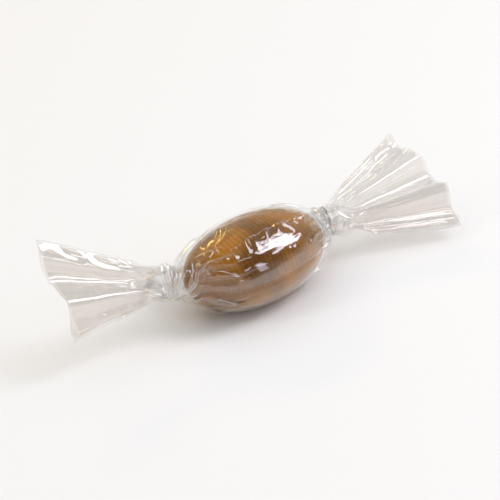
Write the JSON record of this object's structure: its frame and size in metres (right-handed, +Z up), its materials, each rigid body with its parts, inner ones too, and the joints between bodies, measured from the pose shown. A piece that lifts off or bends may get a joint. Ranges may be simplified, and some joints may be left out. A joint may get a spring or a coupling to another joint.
{
  "type": "wrapped honey drop",
  "caption": "Oval boiled honey sweet in a clear twist wrap, with a gathered neck and a pleated fan of film at each end.",
  "frame": {"origin": "centre of the flat spot under the belly, where the sweet rests", "axes": "+X along the sweet from its left tail to its right tail, +Z up"},
  "size_m": [0.0888, 0.0281, 0.0246],
  "materials": {
    "clear_film": "clear glossy cellophane",
    "honey_sugar": "boiled sugar, translucent amber brown"
  },
  "bodies": {
    "root": {"wrapped_drop": "clear_film"}
  },
  "joints": []
}
